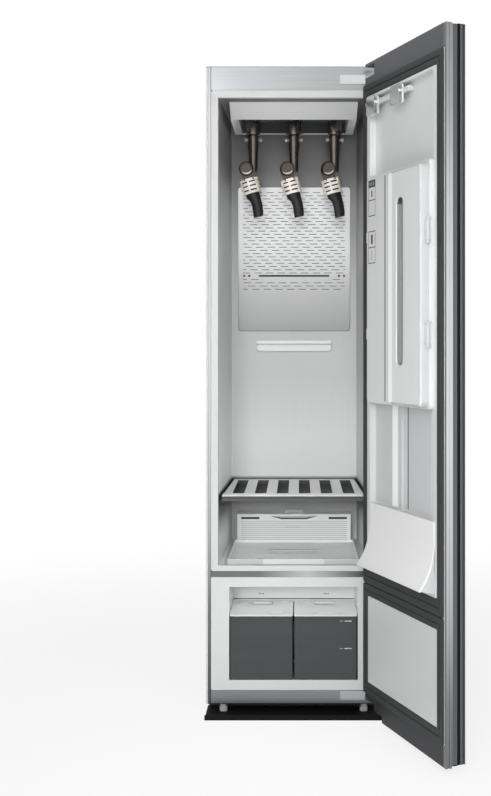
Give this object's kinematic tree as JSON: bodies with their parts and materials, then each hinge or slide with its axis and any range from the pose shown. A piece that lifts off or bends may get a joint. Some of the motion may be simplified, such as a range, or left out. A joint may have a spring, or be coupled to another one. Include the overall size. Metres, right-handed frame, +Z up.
{
  "type": "clothes care steam cabinet",
  "caption": "Tall narrow steam closet for clothes: glass-fronted door hung on the right, swivelling steam nozzles, slatted shelf, lift-out filter, water tanks and a trouser press in the door.",
  "frame": {"origin": "on the floor, under the middle of the plinth strip and 56 mm in front of the cabinet's front plane", "axes": "+X to the right seen from the front, +Y to the back, +Z up; the door stands open at 110 degrees on its right-hand hinge"},
  "size_m": [0.6734, 1.0289, 1.85],
  "materials": {
    "painted_steel": "satin",
    "zinc_steel": "matt",
    "black_steel": "semi-gloss",
    "brushed_metal": "brushed",
    "bright_metal": "polished",
    "dark_chrome": "polished",
    "banded_chrome": "polished",
    "edge_aluminium": "polished",
    "fin_aluminium": "plain",
    "white_plastic": "semi-gloss",
    "white_moulding": "semi-gloss",
    "grey_liner": "semi-gloss",
    "dark_plastic": "matt",
    "black_plastic": "matt",
    "smoked_plastic": "gloss",
    "gasket_rubber": "matt",
    "smoked_glass": "mirror-backed gloss",
    "board_green": "matt"
  },
  "bodies": {
    "cabinet": {"side_panel_left": "painted_steel", "side_panel_right": "painted_steel", "top_panel": "painted_steel", "rear_cover": "painted_steel", "mains_inlet": "black_plastic", "base_pan": "zinc_steel", "levelling_foot_1": "bright_metal", "levelling_foot_2": "bright_metal", "levelling_foot_3": "bright_metal", "levelling_foot_4": "bright_metal", "plinth_strip": "black_plastic", "top_rail": "brushed_metal", "divider_rail": "brushed_metal", "bottom_rail": "brushed_metal", "front_strip_left": "brushed_metal", "front_strip_right": "brushed_metal", "compartment_liner": "grey_liner", "tank_bay_frame": "white_plastic", "hanger_unit_cover": "white_moulding", "steam_manifold": "dark_plastic", "nozzle_socket_left": "dark_chrome", "nozzle_socket_middle": "dark_chrome", "nozzle_socket_right": "dark_chrome", "vent_panel": "white_plastic", "light_bar": "white_plastic", "filter_housing": "white_plastic", "steam_generator": "zinc_steel", "compressor": "black_steel", "heat_exchanger": "fin_aluminium", "blower_housing": "dark_plastic", "hinge_plate_top": "bright_metal", "hinge_plate_bottom": "bright_metal"},
    "door": {"door_pan": "dark_plastic", "door_edge_profile": "edge_aluminium", "door_core": "dark_plastic", "door_glass": "smoked_glass", "display_board": "board_green", "door_liner": "white_moulding", "gasket_upper": "gasket_rubber", "gasket_lower": "gasket_rubber", "door_ramp": "white_plastic", "press_base": "white_moulding", "clip_rail": "white_plastic"},
    "press_cover": {"press_cover": "white_plastic"},
    "clip_jaw_left": {"clip_jaw_left": "bright_metal"},
    "clip_jaw_right": {"clip_jaw_right": "bright_metal"},
    "tank_left": {"tank_left": "smoked_plastic", "tank_lid_left": "white_plastic"},
    "tank_right": {"tank_right": "smoked_plastic", "tank_lid_right": "white_plastic"},
    "shelf": {"shelf": "brushed_metal"},
    "filter": {"filter_frame": "white_plastic"},
    "tray": {"floor_tray": "white_plastic"},
    "nozzle_arm_left": {"nozzle_arm_left": "dark_chrome"},
    "nozzle_arm_middle": {"nozzle_arm_middle": "dark_chrome"},
    "nozzle_arm_right": {"nozzle_arm_right": "dark_chrome"},
    "nozzle_spout_left": {"nozzle_spout_left": "banded_chrome"},
    "nozzle_spout_middle": {"nozzle_spout_middle": "banded_chrome"},
    "nozzle_spout_right": {"nozzle_spout_right": "banded_chrome"},
    "fan": {"fan_impeller": "dark_plastic"}
  },
  "joints": [
    {"name": "door_hinge", "type": "hinge", "parent": "cabinet", "child": "door", "pos_m": [0.236, 0.017, 0.93], "axis": [0, 0, 1], "range_deg": [-110.2, 8]},
    {"name": "press_hinge", "type": "hinge", "parent": "door", "child": "press_cover", "pos_m": [0.33367, -0.41643, 1.2], "axis": [0, 0, 1], "range_deg": [0, 90]},
    {"name": "clip_jaw_hinge_left", "type": "hinge", "parent": "door", "child": "clip_jaw_left", "pos_m": [0.21488, -0.06749, 1.72], "axis": [-0.3453, 0.9385, 0], "range_deg": [0, 12], "stiffness_Nm_per_rad": 0.6, "springref_deg": -11.46},
    {"name": "clip_jaw_hinge_right", "type": "hinge", "parent": "door", "child": "clip_jaw_right", "pos_m": [0.26943, -0.21577, 1.72], "axis": [-0.3453, 0.9385, 0], "range_deg": [0, 12], "stiffness_Nm_per_rad": 0.6, "springref_deg": -11.46},
    {"name": "tank_slide_left", "type": "slide", "parent": "cabinet", "child": "tank_left", "axis": [0, -1, 0], "range_m": [0, 0.19]},
    {"name": "tank_slide_right", "type": "slide", "parent": "cabinet", "child": "tank_right", "axis": [0, -1, 0], "range_m": [0, 0.19]},
    {"name": "shelf_lift", "type": "slide", "parent": "cabinet", "child": "shelf", "axis": [0, 0, 1], "range_m": [0, 0.1]},
    {"name": "filter_lift", "type": "slide", "parent": "cabinet", "child": "filter", "axis": [0, 0, 1], "range_m": [0, 0.07]},
    {"name": "tray_slide", "type": "slide", "parent": "cabinet", "child": "tray", "axis": [0, -1, 0], "range_m": [0, 0.15]},
    {"name": "nozzle_swivel_left", "type": "hinge", "parent": "cabinet", "child": "nozzle_arm_left", "pos_m": [-0.125, 0.316, 1.7], "axis": [0, 0, 1], "range_deg": [-45, 45]},
    {"name": "nozzle_swivel_middle", "type": "hinge", "parent": "cabinet", "child": "nozzle_arm_middle", "pos_m": [0, 0.316, 1.7], "axis": [0, 0, 1], "range_deg": [-45, 45]},
    {"name": "nozzle_swivel_right", "type": "hinge", "parent": "cabinet", "child": "nozzle_arm_right", "pos_m": [0.125, 0.316, 1.7], "axis": [0, 0, 1], "range_deg": [-45, 45]},
    {"name": "spout_tilt_left", "type": "hinge", "parent": "nozzle_arm_left", "child": "nozzle_spout_left", "pos_m": [-0.145, 0.316, 1.5909], "axis": [0, 1, 0], "range_deg": [-20, 20]},
    {"name": "spout_tilt_middle", "type": "hinge", "parent": "nozzle_arm_middle", "child": "nozzle_spout_middle", "pos_m": [-0.02, 0.316, 1.5909], "axis": [0, 1, 0], "range_deg": [-20, 20]},
    {"name": "spout_tilt_right", "type": "hinge", "parent": "nozzle_arm_right", "child": "nozzle_spout_right", "pos_m": [0.105, 0.316, 1.5909], "axis": [0, 1, 0], "range_deg": [-20, 20]},
    {"name": "fan_spin", "type": "hinge", "parent": "cabinet", "child": "fan", "pos_m": [0, 0.47, 0.3337], "axis": [0, 1, 0], "continuous": true}
  ]
}
